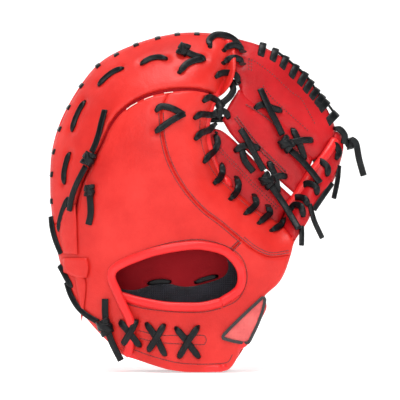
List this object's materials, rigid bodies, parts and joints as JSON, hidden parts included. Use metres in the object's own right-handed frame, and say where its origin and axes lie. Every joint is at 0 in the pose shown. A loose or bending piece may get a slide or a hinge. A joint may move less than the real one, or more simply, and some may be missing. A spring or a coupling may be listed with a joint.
{
  "type": "baseball mitt",
  "caption": "Left-hand first baseman's mitt with a laced web, rolled wrist opening and adjustable wrist strap, folding between thumb and fingers.",
  "frame": {"origin": "on the surface that the mitt stands on, under the middle of its overall box", "axes": "+X across the back of the hand towards the thumb, +Y from the back of the hand through to the pocket, +Z from the heel up to the fingertips"},
  "size_m": [0.3076, 0.0828, 0.3282],
  "materials": {
    "shell_leather": "bright red, fine grain, semi-gloss",
    "lace_rawhide": "black waxed rawhide",
    "lining_leather": "dark red, soft, matt",
    "felt_pad": "pressed wool felt",
    "binding_leather": "bright red, rolled, satin",
    "patch_fabric": "embroidered twill"
  },
  "bodies": {
    "hand_side": {"finger_back_panel": "shell_leather", "hand_back_panel": "shell_leather", "index_back_panel": "shell_leather", "pinky_heel_panel": "shell_leather", "palm_finger_side": "shell_leather", "palm_lining_finger_side": "lining_leather", "finger_pad": "felt_pad", "heel_pad_pinky": "felt_pad", "hand_back_lining": "lining_leather", "finger_dividers": "lining_leather", "wrist_opening_binding": "binding_leather", "pinky_tab": "shell_leather", "pinky_loop": "shell_leather", "finger_edge_lace": "lace_rawhide", "finger_dash_lace": "lace_rawhide", "finger_top_lace": "lace_rawhide", "back_seam_lace": "lace_rawhide", "left_edge_lace": "lace_rawhide", "pinky_lace_knot": "lace_rawhide", "pinky_short_lace": "lace_rawhide", "heel_lace": "lace_rawhide", "finger_web_column_lace": "lace_rawhide", "pinky_side_wall": "shell_leather", "column_welt": "binding_leather", "flap_lace": "lace_rawhide", "pinky_lace_upper_end": "lace_rawhide", "pinky_lace_lower_end": "lace_rawhide"},
    "thumb_side": {"crotch_back_panel": "shell_leather", "thumb_heel_panel": "shell_leather", "thumb_outer_panel": "shell_leather", "palm_thumb_side": "shell_leather", "palm_lining_thumb_side": "lining_leather", "thumb_pad": "felt_pad", "heel_pad_thumb": "felt_pad", "thumb_side_wall": "shell_leather", "crotch_lace": "lace_rawhide", "web_top_panel": "shell_leather", "web_middle_bar": "shell_leather", "thumb_crotch_strip": "shell_leather", "web_whip_lace": "lace_rawhide", "web_cross_ties": "lace_rawhide", "web_upper_knot": "lace_rawhide", "web_lower_knot": "lace_rawhide", "thumb_edge_lace": "lace_rawhide", "thumb_tip_lace": "lace_rawhide", "thumb_lace_tails": "lace_rawhide", "thumb_edge_welt": "binding_leather", "emblem_patch": "patch_fabric", "web_upper_lace_upper_end": "lace_rawhide", "web_upper_lace_lower_end": "lace_rawhide", "web_lower_lace_upper_end": "lace_rawhide", "web_lower_lace_lower_end": "lace_rawhide"},
    "wrist_strap": {"wrist_strap_outer": "shell_leather", "wrist_strap_pad": "felt_pad", "strap_top_binding": "binding_leather", "strap_bottom_binding": "binding_leather", "adjuster_lace": "lace_rawhide"}
  },
  "joints": [
    {"name": "mitt_fold", "type": "hinge", "parent": "hand_side", "child": "thumb_side", "pos_m": [0.0356, -0.0224, 0], "axis": [-0.0615, 0.1661, 0.9842], "range_deg": [0, 30], "stiffness_Nm_per_rad": 1.5, "springref_deg": -2.86},
    {"name": "strap_draw", "type": "hinge", "parent": "hand_side", "child": "wrist_strap", "pos_m": [0.0106, -0.0344, 0], "axis": [0, 0, 1], "range_deg": [-7, 0], "stiffness_Nm_per_rad": 0.5, "springref_deg": 2.86}
  ]
}
